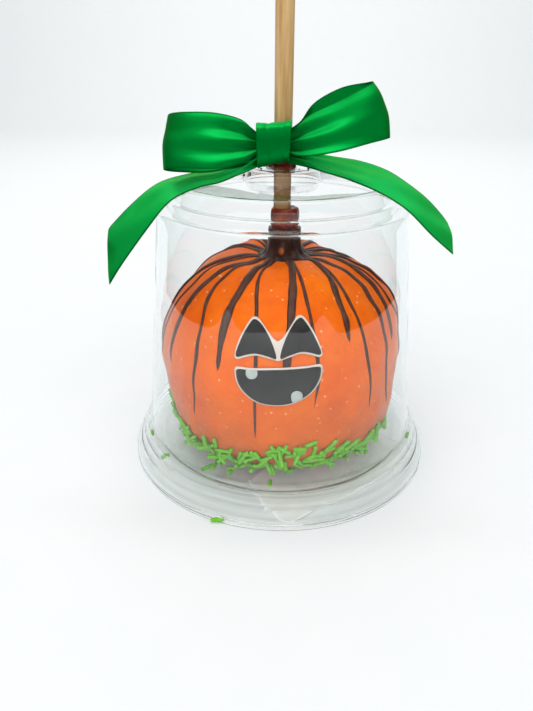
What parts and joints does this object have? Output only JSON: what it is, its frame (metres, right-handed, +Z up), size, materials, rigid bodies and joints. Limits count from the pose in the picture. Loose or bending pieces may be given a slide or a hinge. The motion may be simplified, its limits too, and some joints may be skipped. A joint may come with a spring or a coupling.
{
  "type": "caramel apple",
  "caption": "Caramel apple on a wooden stick, decorated as a pumpkin face with drizzle and sprinkles, in a clear domed pack tied with a satin bow.",
  "frame": {"origin": "centre of the pack's underside, on the surface that it stands on, under the stick's axis", "axes": "+Z up along the stick; the face looks to -Y"},
  "size_m": [0.1137, 0.1126, 0.174],
  "materials": {
    "coating": "glossy hardened orange candy coating",
    "wood": "plain sanded birch",
    "chocolate": "set chocolate",
    "printed_film": "printed film, satin",
    "clear_plastic": "clear thermoformed plastic",
    "satin": "woven satin ribbon",
    "sprinkles": "sugar sprinkles",
    "paper": "plain uncoated paper"
  },
  "bodies": {
    "root": {"apple": "coating", "stick": "wood", "stem": "chocolate", "face_eyes": "printed_film", "face_mouth": "printed_film", "dome": "clear_plastic", "base_tray": "clear_plastic", "ribbon_bow": "satin", "paper_slip": "paper"}
  },
  "joints": []
}
